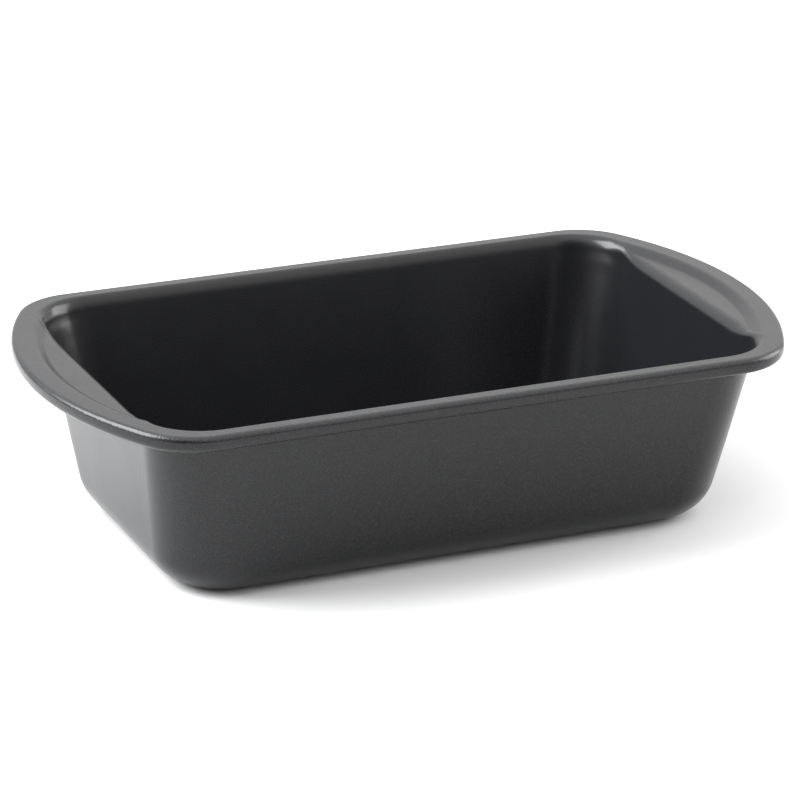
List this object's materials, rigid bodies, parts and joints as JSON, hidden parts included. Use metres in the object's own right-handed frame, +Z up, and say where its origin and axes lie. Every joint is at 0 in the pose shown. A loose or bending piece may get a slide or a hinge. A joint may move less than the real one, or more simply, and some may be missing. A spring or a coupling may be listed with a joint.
{
  "type": "loaf pan",
  "caption": "Drawn sheet-steel loaf pan with leaning walls, rounded corners, a curled rim over a wire and a curved end grip with a sunk panel at each end.",
  "frame": {"origin": "centre of the underside of the base, on the surface that the pan stands on", "axes": "+Z up, +X along the pan from grip to grip, +Y across it"},
  "size_m": [0.28, 0.1564, 0.0705],
  "materials": {
    "coated_sheet": "satin charcoal non-stick coating with a fine grain",
    "wire": "drawn mild-steel wire"
  },
  "bodies": {
    "root": {"pan_body": "coated_sheet", "rim_wire": "wire"}
  },
  "joints": []
}
